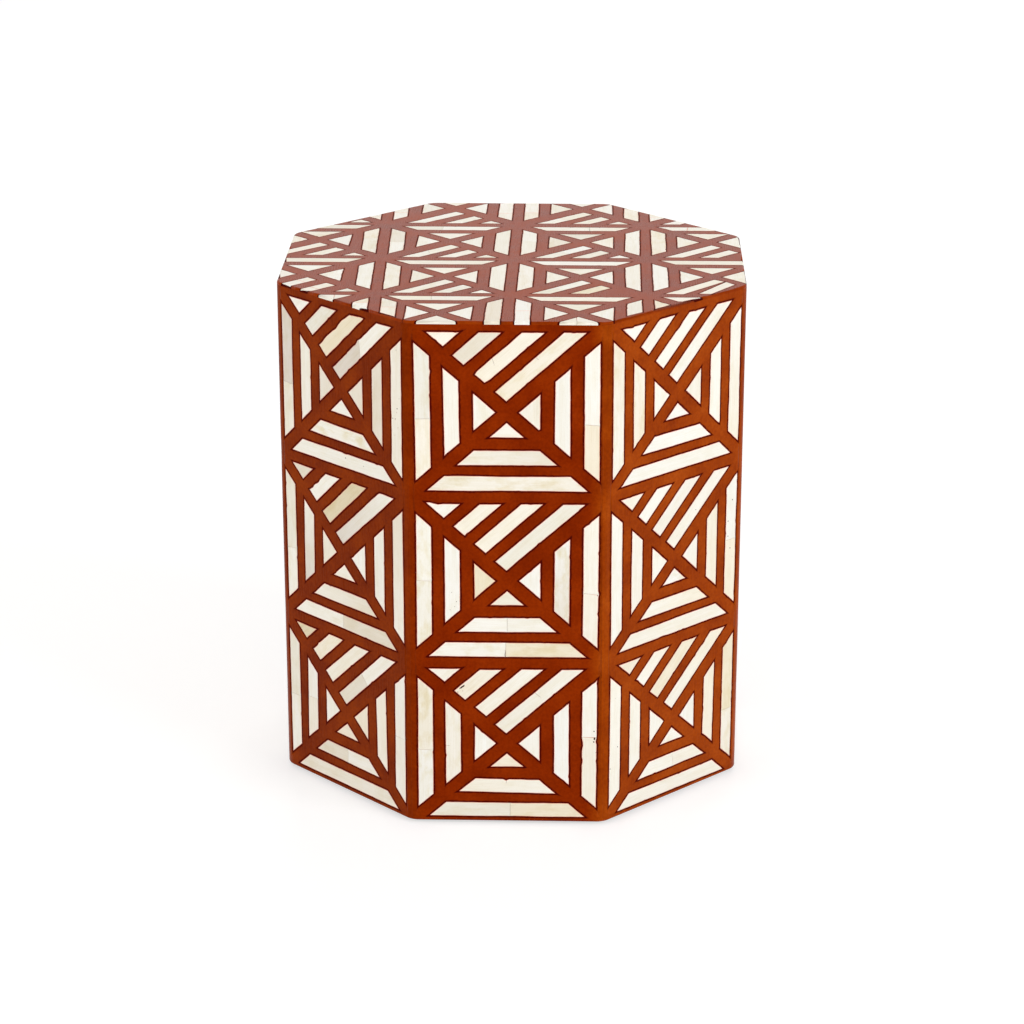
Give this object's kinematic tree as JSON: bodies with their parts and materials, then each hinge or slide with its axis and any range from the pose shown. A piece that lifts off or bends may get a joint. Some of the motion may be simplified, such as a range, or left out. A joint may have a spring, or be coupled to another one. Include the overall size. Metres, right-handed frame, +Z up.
{
  "type": "octagonal inlaid stool",
  "caption": "Octagonal drum stool or side table, faced all over with bone strips inlaid in rust-coloured resin in square tiles of bars, triangles and slanting stripes.",
  "frame": {"origin": "on the floor under the middle of the stool", "axes": "+Z up, -Y towards the front face, +X to the right of someone who faces the front"},
  "size_m": [0.4, 0.4, 0.45],
  "materials": {
    "resin": "rust-coloured poured resin, sanded flush and lacquered to a satin gloss",
    "bone": "polished ivory-white bone with faint lengthwise grain",
    "board": "raw medium-density fibreboard",
    "glue_block": "sawn softwood",
    "base_paint": "board with a thin dark brown paint",
    "glide": "moulded brown nylon",
    "steel": "zinc-plated steel"
  },
  "bodies": {
    "root": {"side_panel_1": "board", "side_panel_2": "board", "side_panel_3": "board", "side_panel_4": "board", "side_panel_5": "board", "side_panel_6": "board", "side_panel_7": "board", "side_panel_8": "board", "side_bone_inlay_1": "bone", "side_bone_inlay_2": "bone", "side_bone_inlay_3": "bone", "side_bone_inlay_4": "bone", "side_bone_inlay_5": "bone", "side_bone_inlay_6": "bone", "side_bone_inlay_7": "bone", "side_bone_inlay_8": "bone", "side_resin_ground_1": "resin", "side_resin_ground_2": "resin", "side_resin_ground_3": "resin", "side_resin_ground_4": "resin", "side_resin_ground_5": "resin", "side_resin_ground_6": "resin", "side_resin_ground_7": "resin", "side_resin_ground_8": "resin", "corner_block_1": "glue_block", "corner_block_2": "glue_block", "corner_block_3": "glue_block", "corner_block_4": "glue_block", "corner_block_5": "glue_block", "corner_block_6": "glue_block", "corner_block_7": "glue_block", "corner_block_8": "glue_block", "seat_resin_ground": "resin", "seat_bone_inlay": "bone", "top_board": "board", "top_former": "board", "base_board": "base_paint", "glide_1": "glide", "glide_2": "glide", "glide_3": "glide", "glide_4": "glide", "glide_5": "glide", "glide_6": "glide", "glide_7": "glide", "glide_8": "glide", "glide_nail_1": "steel", "glide_nail_2": "steel", "glide_nail_3": "steel", "glide_nail_4": "steel", "glide_nail_5": "steel", "glide_nail_6": "steel", "glide_nail_7": "steel", "glide_nail_8": "steel", "top_screw_1": "steel", "top_screw_2": "steel", "top_screw_3": "steel", "top_screw_4": "steel"}
  },
  "joints": []
}
